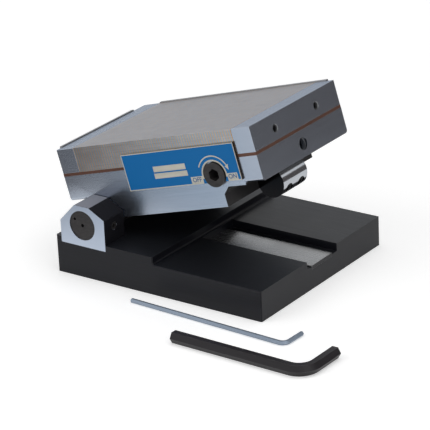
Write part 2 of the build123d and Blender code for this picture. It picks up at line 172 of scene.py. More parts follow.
def aimed(place, target):
    look = (Vector(target) - Vector(place)).to_track_quat("-Z", "Y")
    return Matrix.Translation(place) @ look.to_matrix().to_4x4()


def fadeAlong(tree, across, measure, start, end):
    # 0 to 1 from start to end, by distance from the middle of the floor or along a direction
    coords = addNode(tree, "ShaderNodeTexCoord")
    length = addNode(tree, "ShaderNodeVectorMath", {"operation": measure})
    tree.links.new(coords.outputs["Object"], length.inputs[0])
    if across:
        length.inputs[1].default_value = across
    fade = addNode(tree, "ShaderNodeMapRange", {}, {"From Min": start, "From Max": end})
    tree.links.new(length.outputs["Value"], fade.inputs["Value"])
    return fade


def makeSky():
    # white to look at, dimmer as a light
    world = bpy.data.worlds.new("whiteRoom")
    bpy.context.scene.world = world
    world.use_nodes = True
    tree = world.node_tree
    seen = tree.nodes["Background"]
    seen.inputs["Color"].default_value = (1, 1, 1, 1)
    dimmed = {"Color": (1, 1, 1, 1), "Strength": studio["skyLight"]}
    light = addNode(tree, "ShaderNodeBackground", {}, dimmed)
    mix = addNode(tree, "ShaderNodeMixShader")
    tree.links.new(seenRays(tree), mix.inputs[0])
    tree.links.new(light.outputs[0], mix.inputs[1])
    tree.links.new(seen.outputs[0], mix.inputs[2])
    tree.links.new(mix.outputs[0], tree.nodes["World Output"].inputs[0])


def makeFloor():
    size, glowing = studio["floorSize"], studio["floorGlow"]
    floor = makePlane("floor", size, size, Matrix.Translation((0, 0, -studio["floorDrop"])))
    pale = bareMaterial("paleFloor")
    tree = pale.node_tree
    diffuse = addNode(tree, "ShaderNodeBsdfDiffuse", {}, {"Color": (*studio["floorColor"], 1)})
    glow = addNode(tree, "ShaderNodeEmission")
    strength = addNode(tree, "ShaderNodeMath", {"operation": "MULTIPLY"})
    reach = fadeAlong(tree, None, "LENGTH", glowing["from"], glowing["to"])
    reach.inputs["To Min"].default_value = glowing["near"]
    reach.inputs["To Max"].default_value = glowing["far"]
    tree.links.new(reach.outputs["Result"], strength.inputs[1])
    tree.links.new(seenRays(tree), strength.inputs[0])
    tree.links.new(strength.outputs[0], glow.inputs["Strength"])
    both = addNode(tree, "ShaderNodeAddShader")
    tree.links.new(diffuse.outputs[0], both.inputs[0])
    tree.links.new(glow.outputs[0], both.inputs[1])
    tree.links.new(both.outputs[0], tree.nodes["Material Output"].inputs[0])
    floor.data.materials.append(pale)


def makeLamp(name, lamp):
    data = bpy.data.lights.new(name, "AREA")
    data.size = lamp["size"]
    data.energy = lamp["watts"]
    box = bpy.data.objects.new(name, data)
    box.matrix_world = aimed(lamp["at"], studio["aim"])
    box.visible_glossy = lamp["mirrored"]
    bpy.context.scene.collection.objects.link(box)


def fadeRamp(tree, card):
    # the card's colours from stop to stop along its direction
    stops = card["fade"]
    start, end = stops[0][0], stops[-1][0]
    ramp = addNode(tree, "ShaderNodeValToRGB")
    elements = ramp.color_ramp.elements
    for i, (at, color) in enumerate(stops):
        place = (at - start) / (end - start)
        stop = elements[0] if i == 0 else elements.new(place)
        stop.position, stop.color = place, (*color, 1)
    elements.remove(elements[-1])
    fade = fadeAlong(tree, card["across"], "DOT_PRODUCT", start, end)
    tree.links.new(fade.outputs["Result"], ramp.inputs[0])
    return ramp.outputs[0]


def makeCard(name, card):
    if card["lying"]:
        placed = Matrix.Translation(card["at"])
    else:
        placed = aimed(card["at"], (0, 0, card["at"][2]))
    plane = makePlane(name, *card["size"], placed)
    flat = bareMaterial(name)
    tree = flat.node_tree
    glow = addNode(tree, "ShaderNodeEmission")
    if "fade" in card:
        tree.links.new(fadeRamp(tree, card), glow.inputs["Color"])
    else:
        glow.inputs["Color"].default_value = (*card["color"], 1)
    tree.links.new(glow.outputs[0], tree.nodes["Material Output"].inputs[0])
    plane.data.materials.append(flat)
    plane.visible_camera = False
    plane.visible_diffuse = False
    plane.visible_shadow = False


makeSky()
makeFloor()
for name, lamp in studio["lamps"].items():
    makeLamp(name, lamp)
for name, card in studio["cards"].items():
    makeCard(name, card)
print("studio: floor,", len(studio["lamps"]), "lamps,", len(studio["cards"]), "cards")


# shader groups that several finishes share
def shaderGroup(name, inputs, outputs):
    tree = bpy.data.node_groups.new(name, "ShaderNodeTree")
    for label, kind, value in inputs:
        socket = tree.interface.new_socket(label, in_out="INPUT", socket_type="NodeSocket" + kind)
        if value is not None:
            socket.default_value = value
    for label, kind in outputs:
        tree.interface.new_socket(label, in_out="OUTPUT", socket_type="NodeSocket" + kind)
    return tree, tree.nodes.new("NodeGroupInput"), tree.nodes.new("NodeGroupOutput")


def makeGrindMarks():
    # long fine scratches as a surface grinder leaves, along x, and along y on the faces that look along x
    endFacing = 0.75
    tree, enter, leave = shaderGroup(
        "grindMarks",
        [
            ("Vector", "Vector", None), ("Facing", "Vector", None),
            ("Along", "Float", 25.0), ("Across", "Float", 900.0),
        ],
        [("Streak", "Float")],
    )
    look = addNode(tree, "ShaderNodeSeparateXYZ")
    tree.links.new(enter.outputs["Facing"], look.inputs[0])
    size = addNode(tree, "ShaderNodeMath", {"operation": "ABSOLUTE"})
    tree.links.new(look.outputs["X"], size.inputs[0])
    onEnd = addNode(tree, "ShaderNodeMath", {"operation": "GREATER_THAN"}, {1: endFacing})
    tree.links.new(size.outputs[0], onEnd.inputs[0])
    stretch = addNode(tree, "ShaderNodeMix", {"data_type": "VECTOR"})
    tree.links.new(onEnd.outputs[0], stretch.inputs["Factor"])
    for side, lengthwise in (("A", 0), ("B", 1)):
        way = addNode(tree, "ShaderNodeCombineXYZ")
        for i in range(3):
            tree.links.new(enter.outputs["Along" if i == lengthwise else "Across"], way.inputs[i])
        socket = next(s for s in stretch.inputs if s.name == side and s.type == "VECTOR")
        tree.links.new(way.outputs[0], socket)
    scaled = addNode(tree, "ShaderNodeVectorMath", {"operation": "MULTIPLY"})
    tree.links.new(enter.outputs["Vector"], scaled.inputs[0])
    tree.links.new(next(s for s in stretch.outputs if s.type == "VECTOR"), scaled.inputs[1])
    noise = addNode(tree, "ShaderNodeTexNoise", {}, {"Scale": 1.0, "Detail": 4.0, "Roughness": 0.65})
    tree.links.new(scaled.outputs[0], noise.inputs["Vector"])
    spread = addNode(tree, "ShaderNodeMapRange", {}, {"From Min": 0.3, "From Max": 0.7})
    tree.links.new(noise.outputs["Fac"], spread.inputs["Value"])
    tree.links.new(spread.outputs["Result"], leave.inputs["Streak"])
    return tree


def makeOilFilm():
    # soft cloudy patches of oil and handling
    tree, enter, leave = shaderGroup(
        "oilFilm",
        [("Vector", "Vector", None), ("Scale", "Float", 40.0)],
        [("Patch", "Float")],
    )
    noise = addNode(tree, "ShaderNodeTexNoise", {}, {"Detail": 5.0, "Roughness": 0.55})
    tree.links.new(enter.outputs["Vector"], noise.inputs["Vector"])
    tree.links.new(enter.outputs["Scale"], noise.inputs["Scale"])
    spread = addNode(tree, "ShaderNodeMapRange", {}, {"From Min": 0.28, "From Max": 0.72})
    tree.links.new(noise.outputs["Fac"], spread.inputs["Value"])
    tree.links.new(spread.outputs["Result"], leave.inputs["Patch"])
    return tree


def makeRubbedEdge():
    # 1 along the edges where the finish is rubbed through, broken up by noise
    tree, enter, leave = shaderGroup(
        "rubbedEdge",
        [("Vector", "Vector", None), ("Width", "Float", 0.6 * mm), ("Patchiness", "Float", 120.0)],
        [("Mask", "Float")],
    )
    rounded = addNode(tree, "ShaderNodeBevel", {"samples": 6})
    tree.links.new(enter.outputs["Width"], rounded.inputs["Radius"])
    plain = addNode(tree, "ShaderNodeNewGeometry")
    facing = addNode(tree, "ShaderNodeVectorMath", {"operation": "DOT_PRODUCT"})
    tree.links.new(rounded.outputs[0], facing.inputs[0])
    tree.links.new(plain.outputs["Normal"], facing.inputs[1])
    edge = addNode(tree, "ShaderNodeMapRange", {}, {"From Min": 0.995, "From Max": 0.86})
    tree.links.new(facing.outputs["Value"], edge.inputs["Value"])
    noise = addNode(tree, "ShaderNodeTexNoise", {}, {"Detail": 3.0})
    tree.links.new(enter.outputs["Vector"], noise.inputs["Vector"])
    tree.links.new(enter.outputs["Patchiness"], noise.inputs["Scale"])
    broken = addNode(tree, "ShaderNodeMapRange", {}, {"From Min": 0.35, "From Max": 0.6})
    tree.links.new(noise.outputs["Fac"], broken.inputs["Value"])
    both = addNode(tree, "ShaderNodeMath", {"operation": "MULTIPLY"})
    tree.links.new(edge.outputs["Result"], both.inputs[0])
    tree.links.new(broken.outputs["Result"], both.inputs[1])
    tree.links.new(both.outputs[0], leave.inputs["Mask"])
    return tree


grindMarks = makeGrindMarks()
oilFilm = makeOilFilm()
rubbedEdge = makeRubbedEdge()

# finishes: colours are linear; rough is the lowest and highest roughness; along, across and film are marks
# per metre; a tilted finish lies as on the level chuck; faces take a colour of their own, by where they look
finishes = {
    "blackOxide": {
        "color": (0.005, 0.0055, 0.009), "edge": (0.045, 0.045, 0.05), "metallic": 0.0, "specular": 0.24,
        "rough": (0.32, 0.44), "along": 30, "across": 700, "streak": 0.25,
        "film": 28, "bump": 0.12, "tilted": False,
        # painted sheen: faces looking up are lighter than the sides, standing in for the light the black top
        # catches
        "faces": [{"along": (0, 0, 1), "both": False, "color": (0.0105, 0.0115, 0.0145), "metallic": 0.0}],
    },
    "groundSteel": {
        "color": (0.40, 0.445, 0.52), "edge": (0.55, 0.59, 0.65), "metallic": 1.0, "specular": 0.5,
        "rough": (0.23, 0.28), "along": 14, "across": 1100, "streak": 0.06,
        "film": 22, "bump": 0.006, "tilted": True,
    },
    "seatSteel": {
        "color": (0.29, 0.295, 0.302), "edge": (0.42, 0.42, 0.42), "metallic": 1.0, "specular": 0.5,
        "rough": (0.2, 0.34), "along": 22, "across": 1100, "streak": 0.18,
        "film": 35, "bump": 0.04, "tilted": False,
        "faces": [{"along": (1, 0, 0), "both": True, "color": (0.03, 0.03, 0.032), "metallic": 1.0}],
    },
    "hingeGround": {
        "color": (0.013, 0.013, 0.016), "edge": (0.035, 0.035, 0.04), "metallic": 0.0, "specular": 0.05,
        "rough": (0.32, 0.44), "along": 30, "across": 700, "streak": 0.2,
        "film": 28, "bump": 0.06, "tilted": False,
        "faces": [
            {"along": (0, 1, 0), "both": True, "color": (0.47, 0.53, 0.63), "metallic": 1.0},
            {"along": (0, 0, 1), "both": False, "color": (0.26, 0.27, 0.31), "metallic": 0.2},
        ],
    },
    "poleSteel": {
        "color": (0.37, 0.405, 0.45), "edge": (0.6, 0.6, 0.6), "metallic": 1.0, "specular": 0.5,
        "rough": (0.26, 0.36), "along": 22, "across": 1100, "streak": 0.15,
        "film": 18, "bump": 0.04, "tilted": True,
    },
    "poleBrass": {
        "color": (0.61, 0.38, 0.19), "edge": (0.65, 0.45, 0.26), "metallic": 1.0, "specular": 0.5,
        "rough": (0.26, 0.36), "along": 22, "across": 1100, "streak": 0.15,
        "film": 18, "bump": 0.04, "tilted": True,
    },
    "separatorCopper": {
        "color": (0.125, 0.055, 0.037), "edge": (0.2, 0.1, 0.07), "metallic": 0.5, "specular": 0.5,
        "rough": (0.38, 0.5), "along": 22, "across": 1100, "streak": 0.2,
        "film": 30, "bump": 0.03, "tilted": True,
    },
    "blackenedSteel": {
        "color": (0.04, 0.037, 0.037), "edge": (0.09, 0.088, 0.088), "metallic": 0.3, "specular": 0.3,
        "rough": (0.34, 0.5), "along": 200, "across": 700, "streak": 0.25,
        "film": 60, "bump": 0.06, "tilted": True,
    },
    # darker than the other blackened steel; the sine roller's screws take it
    "darkerBlack": {
        "color": (0.010, 0.010, 0.011), "edge": (0.028, 0.028, 0.03), "metallic": 0.3, "specular": 0.2,
        "rough": (0.34, 0.5), "along": 200, "across": 700, "streak": 0.25,
        "film": 60, "bump": 0.06, "tilted": True,
    },
    "stopSteel": {
        "color": (0.15, 0.15, 0.154), "edge": (0.26, 0.26, 0.265), "metallic": 0.5, "specular": 0.4,
        "rough": (0.3, 0.42), "along": 30, "across": 900, "streak": 0.15,
        "film": 45, "bump": 0.04, "tilted": True,
        "faces": [
            {"along": (0, 0, 1), "both": False, "color": (0.34, 0.34, 0.345), "metallic": 0.5},
            {"along": (0, -1, 0), "both": False, "color": (0.34, 0.34, 0.345), "metallic": 0.5},
        ],
    },
    "polishedChrome": {
        "color": (0.44, 0.465, 0.50), "edge": (0.5, 0.52, 0.55), "metallic": 1.0, "specular": 0.5,
        "rough": (0.11, 0.17), "along": 60, "across": 900, "streak": 0.05,
        "film": 40, "bump": 0.01, "tilted": True,
        "faces": [{"along": (0, 1, 0), "both": True, "color": (0.010, 0.010, 0.011), "metallic": 1.0}],
    },
    # painted shade and highlight: the plate's sides are painted dark brown as shade and its top face lighter
    # as lit; the face looking to the front is the plate's blue
    "plateBlue": {
        "color": (0.022, 0.017, 0.015), "edge": (0.03, 0.024, 0.02), "metallic": 0.0, "specular": 0.15,
        "rough": (0.34, 0.46), "along": 60, "across": 300, "streak": 0.1,
        "film": 60, "bump": 0.02, "tilted": True,
        "faces": [
            {"along": (0, -1, 0), "both": False, "color": (0.0015, 0.160, 0.46), "metallic": 0.0},
            {"along": (0, 0, 1), "both": False, "color": (0.26, 0.23, 0.19), "metallic": 0.0},
        ],
    },
    "printCream": {
        "color": (0.62, 0.60, 0.52), "edge": (0.7, 0.68, 0.6), "metallic": 0.0, "specular": 0.4,
        "rough": (0.4, 0.5), "along": 60, "across": 300, "streak": 0.1,
        "film": 90, "bump": 0.02, "tilted": True,
    },
    "printBlue": {
        "color": (0.010, 0.100, 0.30), "edge": (0.1, 0.2, 0.4), "metallic": 0.0, "specular": 0.4,
        "rough": (0.4, 0.5), "along": 60, "across": 300, "streak": 0.1,
        "film": 90, "bump": 0.02, "tilted": True,
    },
    # painted shade: the threads inside the tapped holes are painted much darker than the rail's ground steel
    "threadSteel": {
        "color": (0.085, 0.086, 0.09), "edge": (0.2, 0.2, 0.2), "metallic": 1.0, "specular": 0.5,
        "rough": (0.35, 0.5), "along": 200, "across": 400, "streak": 0.2,
        "film": 200, "bump": 0.02, "tilted": True,
    },
    "keyBlack": {
        "color": (0.011, 0.009, 0.0115), "edge": (0.065, 0.06, 0.066), "metallic": 0.0, "specular": 0.34,
        "rough": (0.36, 0.5), "along": 30, "across": 600, "streak": 0.3,
        "film": 60, "bump": 0.06, "tilted": False,
    },
    "keyBright": {
        "color": (0.285, 0.345, 0.43), "edge": (0.36, 0.41, 0.48), "metallic": 0.7, "specular": 0.5,
        "rough": (0.42, 0.5), "along": 30, "across": 300, "streak": 0.06,
        "film": 60, "bump": 0.01, "tilted": False,
    },
    "padBronze": {
        "color": (0.40, 0.26, 0.12), "edge": (0.5, 0.36, 0.2), "metallic": 1.0, "specular": 0.5,
        "rough": (0.3, 0.45), "along": 100, "across": 500, "streak": 0.2,
        "film": 60, "bump": 0.03, "tilted": False,
    },
    "carriageAlloy": {
        "color": (0.55, 0.56, 0.57), "edge": (0.7, 0.7, 0.7), "metallic": 1.0, "specular": 0.5,
        "rough": (0.3, 0.45), "along": 40, "across": 500, "streak": 0.2,
        "film": 60, "bump": 0.04, "tilted": True,
    },
    "magnetFerrite": {
        "color": (0.03, 0.03, 0.032), "edge": (0.07, 0.07, 0.07), "metallic": 0.0, "specular": 0.3,
        "rough": (0.55, 0.7), "along": 200, "across": 200, "streak": 0.3,
        "film": 120, "bump": 0.1, "tilted": True,
    },
}

# heights above the body's feet on the level chuck, in millimetres, and the tapped holes across its right end
chuckPlan = {
    "bodyHeight": 18.5,
    "separatorHeight": 2.2,
    "railHoles": {"across": (-25.25, 25.25), "height": 28.5},
    "liftHole": {"across": (0.0,), "height": 9.1},
}
railFoot = chuckPlan["bodyHeight"] + chuckPlan["separatorHeight"]
footHeight = levelBox("left_end_rail")[0].z - railFoot * mm


def holePlaces(holes, x):
    return [Vector((x, y * mm, footHeight + holes["height"] * mm)) for y in holes["across"]]


# the chuck body is ground outside and darker on its faces below the feet that do not look to the front or
# back; the bores of the small holes are painted dark, a painted shade
# painted shade: the bores of the right end's tapped holes and of the hinge roller's centre hole are painted
# dark
boreShade = {"both": True, "color": (0.15, 0.155, 0.165), "metallic": 1.0}
finishes["chuckGround"] = dict(finishes["groundSteel"], faces=[
    {"along": (0, 1, 0), "both": True, "below": footHeight, "color": (0.035, 0.034, 0.036), "metallic": 0.3},
])
finishes["railGround"] = dict(finishes["groundSteel"], faces=[
    dict(boreShade, along=(1, 0, 0), inside=(place, 5 * mm)) for place in holePlaces(chuckPlan["railHoles"], 0)
])
finishes["rollerBlack"] = dict(finishes["blackenedSteel"], faces=[
    dict(boreShade, along=(0, 1, 0), inside=((pivot.x, 0, pivot.z), 3 * mm), color=(0.004, 0.004, 0.004)),
])


def facingMask(tree, place, normal, face):
    # 1 on the faces that look along the given direction, or against it too where both is set;
    # where below or inside is given, 1 on all the other faces under that height, or that near to an axis
    # along the direction
    lookAway, lookAlong = 0.945, 0.968
    heightMargin = 0.1 * mm
    facing = addNode(tree, "ShaderNodeVectorMath", {"operation": "DOT_PRODUCT"})
    facing.inputs[1].default_value = face["along"]
    tree.links.new(normal, facing.inputs[0])
    value = facing.outputs["Value"]
    if face["both"]:
        either = addNode(tree, "ShaderNodeMath", {"operation": "ABSOLUTE"})
        tree.links.new(value, either.inputs[0])
        value = either.outputs[0]
    mask = addNode(tree, "ShaderNodeMapRange", {}, {"From Min": lookAway, "From Max": lookAlong})
    tree.links.new(value, mask.inputs["Value"])
    if "below" not in face and "inside" not in face:
        return mask.outputs["Result"]
    mask.inputs["To Min"].default_value, mask.inputs["To Max"].default_value = 1.0, 0.0
    if "below" in face:
        parts = addNode(tree, "ShaderNodeSeparateXYZ")
        tree.links.new(place, parts.inputs[0])
        measure, limit = parts.outputs["Z"], face["below"] + heightMargin
    else:
        centre, limit = face["inside"]
        offset = addNode(tree, "ShaderNodeVectorMath", {"operation": "SUBTRACT"})
        offset.inputs[1].default_value = centre
        tree.links.new(place, offset.inputs[0])
        across = addNode(tree, "ShaderNodeVectorMath", {"operation": "CROSS_PRODUCT"})
        across.inputs[1].default_value = face["along"]
        tree.links.new(offset.outputs[0], across.inputs[0])
        length = addNode(tree, "ShaderNodeVectorMath", {"operation": "LENGTH"})
        tree.links.new(across.outputs[0], length.inputs[0])
        measure = length.outputs["Value"]
    within = addNode(tree, "ShaderNodeMath", {"operation": "LESS_THAN"}, {1: limit})
    tree.links.new(measure, within.inputs[0])
    both = addNode(tree, "ShaderNodeMath", {"operation": "MULTIPLY"})
    tree.links.new(mask.outputs["Result"], both.inputs[0])
    tree.links.new(within.outputs[0], both.inputs[1])
    return both.outputs[0]


def makeFinish(name, look):
    material = bpy.data.materials.new(name)
    material.use_nodes = True
    tree = material.node_tree
    surface = tree.nodes["Principled BSDF"]
    surface.inputs["Specular IOR Level"].default_value = look["specular"]
    surface.inputs["Metallic"].default_value = look["metallic"]
    coords = addNode(tree, "ShaderNodeTexCoord")
    turned = addNode(tree, "ShaderNodeMapping")
    facing = addNode(tree, "ShaderNodeMapping", {"vector_type": "NORMAL"})
    if look["tilted"]:  # patterns lie as on the level chuck
        turned.inputs["Location"].default_value = rowToLevel.to_translation()
        turned.inputs["Rotation"].default_value = facing.inputs["Rotation"].default_value = (0, tilt, 0)
    tree.links.new(coords.outputs["Object"], turned.inputs["Vector"])
    tree.links.new(coords.outputs["Normal"], facing.inputs["Vector"])
    place, normal = turned.outputs[0], facing.outputs[0]

    marks = addNode(tree, "ShaderNodeGroup", {"node_tree": grindMarks})
    marks.inputs["Along"].default_value = look["along"]
    marks.inputs["Across"].default_value = look["across"]
    film = addNode(tree, "ShaderNodeGroup", {"node_tree": oilFilm}, {"Scale": look["film"]})
    rub = addNode(tree, "ShaderNodeGroup", {"node_tree": rubbedEdge})
    tree.links.new(normal, marks.inputs["Facing"])
    for group in (marks, film, rub):
        tree.links.new(place, group.inputs["Vector"])

    low = tuple(c * (1 - look["streak"]) for c in look["color"])
    high = tuple(min(1, c * (1 + look["streak"])) for c in look["color"])
    streaked = addNode(tree, "ShaderNodeMix", {"data_type": "RGBA"})
    streaked.inputs["A"].default_value = (*low, 1)
    streaked.inputs["B"].default_value = (*high, 1)
    tree.links.new(marks.outputs["Streak"], streaked.inputs["Factor"])
    worn = addNode(tree, "ShaderNodeMix", {"data_type": "RGBA"})
    worn.inputs["B"].default_value = (*look["edge"], 1)
    tree.links.new(rub.outputs["Mask"], worn.inputs["Factor"])
    tree.links.new(streaked.outputs["Result"], worn.inputs["A"])
    color, metal = worn.outputs["Result"], None
    for face in look.get("faces", []):
        mask = facingMask(tree, place, normal, face)
        tinted = addNode(tree, "ShaderNodeMix", {"data_type": "RGBA"})
        tinted.inputs["B"].default_value = (*face["color"], 1)
        tree.links.new(mask, tinted.inputs["Factor"])
        tree.links.new(color, tinted.inputs["A"])
        color = tinted.outputs["Result"]
        if face["metallic"] != look["metallic"]:
            changed = addNode(tree, "ShaderNodeMix", {}, {"A": look["metallic"], "B": face["metallic"]})
            tree.links.new(mask, changed.inputs["Factor"])
            if metal:
                tree.links.new(metal, changed.inputs["A"])
            metal = changed.outputs["Result"]
    tree.links.new(color, surface.inputs["Base Color"])
    if metal:
        tree.links.new(metal, surface.inputs["Metallic"])

    # roughness follows the mean of the marks and the oil
    blend = addNode(tree, "ShaderNodeMath", {"operation": "MULTIPLY_ADD"}, {1: 0.5})
    half = addNode(tree, "ShaderNodeMath", {"operation": "MULTIPLY"}, {1: 0.5})
    tree.links.new(film.outputs["Patch"], half.inputs[0])
    tree.links.new(marks.outputs["Streak"], blend.inputs[0])
    tree.links.new(half.outputs[0], blend.inputs[2])
    rough = addNode(tree, "ShaderNodeMapRange", {}, {"To Min": look["rough"][0], "To Max": look["rough"][1]})
    tree.links.new(blend.outputs[0], rough.inputs["Value"])
    tree.links.new(rough.outputs["Result"], surface.inputs["Roughness"])

    bump = addNode(tree, "ShaderNodeBump", {}, {"Strength": look["bump"], "Distance": 0.1 * mm})
    tree.links.new(marks.outputs["Streak"], bump.inputs["Height"])
    tree.links.new(bump.outputs[0], surface.inputs["Normal"])
    return material


materials = {name: makeFinish(name, look) for name, look in finishes.items()}
print("finishes:", len(materials))

# which finish each solid takes, and how far its edges are broken, in millimetres
dressing = {
    "base_plate": ("blackOxide", 0.5),
    "gauge_strip": ("seatSteel", 0.15),
    "front_hinge_block": ("hingeGround", 0.3),
    "rear_hinge_block": ("hingeGround", 0.3),
    "front_lock_screw": ("blackenedSteel", 0.2),
    "rear_lock_screw": ("blackenedSteel", 0.2),
    "clamp_pads": ("padBronze", 0),
    "large_hex_key": ("keyBlack", 0.5),
    "small_hex_key": ("keyBright", 0.2),
    "chuck_body": ("chuckGround", 0.35),
    "separator_frame": ("separatorCopper", 0.1),
    "left_end_rail": ("groundSteel", 0.25),
    "right_end_rail": ("railGround", 0.25),
    "steel_pole_bars": ("poleSteel", 0),
    "brass_pole_spacers": ("poleBrass", 0),
    "hinge_roller": ("rollerBlack", 0.5),
    "sine_roller": ("polishedChrome", 0.5),
    "sine_roller_screws": ("blackenedSteel", 0.2),
    "nameplate": ("plateBlue", 0.1),
    "operating_shaft": ("blackenedSteel", 0.6),
    "crank_disc": ("groundSteel", 0),
    "shaft_stop_pin": ("groundSteel", 0),
    "carriage_frame": ("carriageAlloy", 0),
    "carriage_magnets": ("magnetFerrite", 0),
    "carriage_pole_bars": ("poleSteel", 0),
    "end_stop_plate": ("stopSteel", 0.2),
    "end_stop_screws": ("blackenedSteel", 0.2),
    "back_stop_plate": ("stopSteel", 0.2),
    "back_stop_screws": ("blackenedSteel", 0.2),
}


def makeEdgeMarks():
    # keeps shading sharp past an angle, and marks the long sharp edges for the bevel that follows
    tree = bpy.data.node_groups.new("edgeMarks", "GeometryNodeTree")
    tree.interface.new_socket("Geometry", in_out="INPUT", socket_type="NodeSocketGeometry")
    for label, value in (("Sharp Angle", radians(28)), ("Shortest Edge", 2.2 * mm)):
        tree.interface.new_socket(label, in_out="INPUT", socket_type="NodeSocketFloat").default_value = value
    tree.interface.new_socket("Geometry", in_out="OUTPUT", socket_type="NodeSocketGeometry")
    enter, leave = tree.nodes.new("NodeGroupInput"), tree.nodes.new("NodeGroupOutput")
    angle = tree.nodes.new("GeometryNodeInputMeshEdgeAngle")
    sharp = addNode(tree, "FunctionNodeCompare", {"data_type": "FLOAT", "operation": "GREATER_THAN"})
    tree.links.new(angle.outputs["Unsigned Angle"], sharp.inputs["A"])
    tree.links.new(enter.outputs["Sharp Angle"], sharp.inputs["B"])
    ends = tree.nodes.new("GeometryNodeInputMeshEdgeVertices")
    reach = addNode(tree, "ShaderNodeVectorMath", {"operation": "DISTANCE"})
    tree.links.new(ends.outputs["Position 1"], reach.inputs[0])
    tree.links.new(ends.outputs["Position 2"], reach.inputs[1])
    longer = addNode(tree, "FunctionNodeCompare", {"data_type": "FLOAT", "operation": "GREATER_THAN"})
    tree.links.new(reach.outputs["Value"], longer.inputs["A"])
    tree.links.new(enter.outputs["Shortest Edge"], longer.inputs["B"])
    chosen = addNode(tree, "FunctionNodeBooleanMath", {"operation": "AND"})
    tree.links.new(sharp.outputs[0], chosen.inputs[0])
    tree.links.new(longer.outputs[0], chosen.inputs[1])
    normals = addNode(tree, "GeometryNodeSetMeshNormal", {"mode": "SHARPNESS"}, {"Remove Custom": True})
    tree.links.new(enter.outputs["Geometry"], normals.inputs["Mesh"])
    tree.links.new(sharp.outputs[0], normals.inputs["Edge Sharpness"])
    weight = addNode(tree, "GeometryNodeStoreNamedAttribute", {"data_type": "FLOAT", "domain": "EDGE"})
    weight.inputs["Name"].default_value = "bevel_weight_edge"
    tree.links.new(normals.outputs[0], weight.inputs["Geometry"])
    tree.links.new(chosen.outputs[0], weight.inputs["Value"])
    tree.links.new(weight.outputs["Geometry"], leave.inputs["Geometry"])
    return tree


edgeMarks = makeEdgeMarks()


def dressNode(name, finish, width):
    solid = nodes[name]
    solid.data.materials.clear()
    solid.data.materials.append(materials[finish])
    if not width:
        return
    weld = solid.modifiers.new("weld", "WELD")
    weld.merge_threshold = 0.001 * mm
    flatten = solid.modifiers.new("flatten", "DECIMATE")
    flatten.decimate_type = "DISSOLVE"
    flatten.angle_limit = radians(0.5)
    marks = solid.modifiers.new("edgeMarks", "NODES")
    marks.node_group = edgeMarks
    edges = solid.modifiers.new("brokenEdges", "BEVEL")
    edges.limit_method = "WEIGHT"
    edges.width = width * mm
    edges.segments = 2
    edges.harden_normals = True
    edges.use_clamp_overlap = True


for name, (finish, width) in dressing.items():
    dressNode(name, finish, width)
print("dressed", len(dressing), "solids")

# printed signs on the blue plate, in millimetres from the plate's lower left corner, angles in degrees
plateSigns = {
    "lift": 0.04,
    "borderInset": 0.05,
    "borderWidth": 0.6,
    "borderGap": 1.2,
    "fields": [(25.9, 11.8, 54.6, 15.9), (25.6, 7.0, 55.1, 10.8)],
    "shaftGap": 0.9,
    "ringWidth": 1.1,
    "ringFrom": -12,
    "ringTo": 192,
    "ringSteps": 60,
    "arcRadius": 13.4,
    "arcWidth": 0.9,
    "arcFrom": 152,
    "arcTo": 26,
    "arcSteps": 40,
    "headLength": 3.6,
    "headWidth": 3.4,
    "wordHeight": 3.4,
    "wordSwell": 0.06,
    "fontScale": 1.35,
    "fieldScale": 0.72,
    "words": {
        "offWord": {"text": "OFF", "at": (61.9, 3.1), "reach": 5.2},
        "onWord": {"text": "ON", "at": (93.0, 3.1), "reach": 4.4},
    },
}
plateLow, plateHigh = levelBox("nameplate")


def plateSpot(x, z, layers):
    # a point so many layers of print above the plate's face
    return Vector((plateLow.x + x * mm, plateLow.y - layers * plateSigns["lift"] * mm, plateLow.z + z * mm))


def placeSign(name, mesh, finish):
    mesh.materials.clear()
    mesh.materials.append(materials[finish])
    piece = bpy.data.objects.new(name, mesh)
    bpy.context.scene.collection.objects.link(piece)
    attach(piece, "chuck")


def flatPiece(name, outlines):
    # outlines are lists of (x, z) on the plate's face, each one polygon
    mesh = bpy.data.meshes.new(name)
    work = bmesh.new()
    for outline in outlines:
        work.faces.new([work.verts.new(plateSpot(x, z, 1)) for x, z in outline])
    work.normal_update()
    for face in work.faces:
        if face.normal.y > 0:
            face.normal_flip()
    work.to_mesh(mesh)
    work.free()
    mesh.transform(levelToRow)
    placeSign(name, mesh, "printCream")


def wordPiece(name, word):
    data = bpy.data.curves.new(name, "FONT")
    data.body = word["text"]
    data.align_x, data.align_y = "CENTER", "CENTER"
    data.size = plateSigns["wordHeight"] * plateSigns["fontScale"] * mm
    data.offset = plateSigns["wordSwell"] * mm
    holder = bpy.data.objects.new(name + "Letters", data)
    bpy.context.scene.collection.objects.link(holder)
    bpy.context.view_layer.update()
    made = holder.evaluated_get(bpy.context.evaluated_depsgraph_get())
    mesh = bpy.data.meshes.new_from_object(made)
    bpy.data.objects.remove(holder)
    upright = Matrix.Rotation(pi / 2, 4, "X")
    mesh.transform(levelToRow @ Matrix.Translation(plateSpot(*word["at"], 2)) @ upright)
    placeSign(name, mesh, "printBlue")


def around(centre, radius, angle):
    return (centre[0] + radius * cos(angle), centre[1] + radius * sin(angle))


def arcBand(centre, inner, outer, start, end, steps):
    # quads of a ring sector
    quads = []
    for i in range(steps):
        a, b = (radians(start + (end - start) * k / steps) for k in (i, i + 1))
        quads.append([around(centre, r, t) for r, t in ((inner, a), (outer, a), (outer, b), (inner, b))])
    return quads


def rectangle(x0, z0, x1, z1):
    return [(x0, z0), (x1, z0), (x1, z1), (x0, z1)]


def makeBorder(centre, cutRadius):
    # a line along the plate's edges that leaves out the shaft's cut
    inset, line = plateSigns["borderInset"], plateSigns["borderWidth"]
    right = (plateHigh.x - plateLow.x) / mm - inset
    top = (plateHigh.z - plateLow.z) / mm - inset
    clear = cutRadius + plateSigns["borderGap"]
    flatPiece("plateBorder", [
        rectangle(inset, top - line, right, top),
        rectangle(inset, inset, inset + line, top - line),
        rectangle(right - line, inset, right, top - line),
        rectangle(inset + line, inset, centre[0] - clear, inset + line),
        rectangle(centre[0] + clear, inset, right - line, inset + line),
    ])


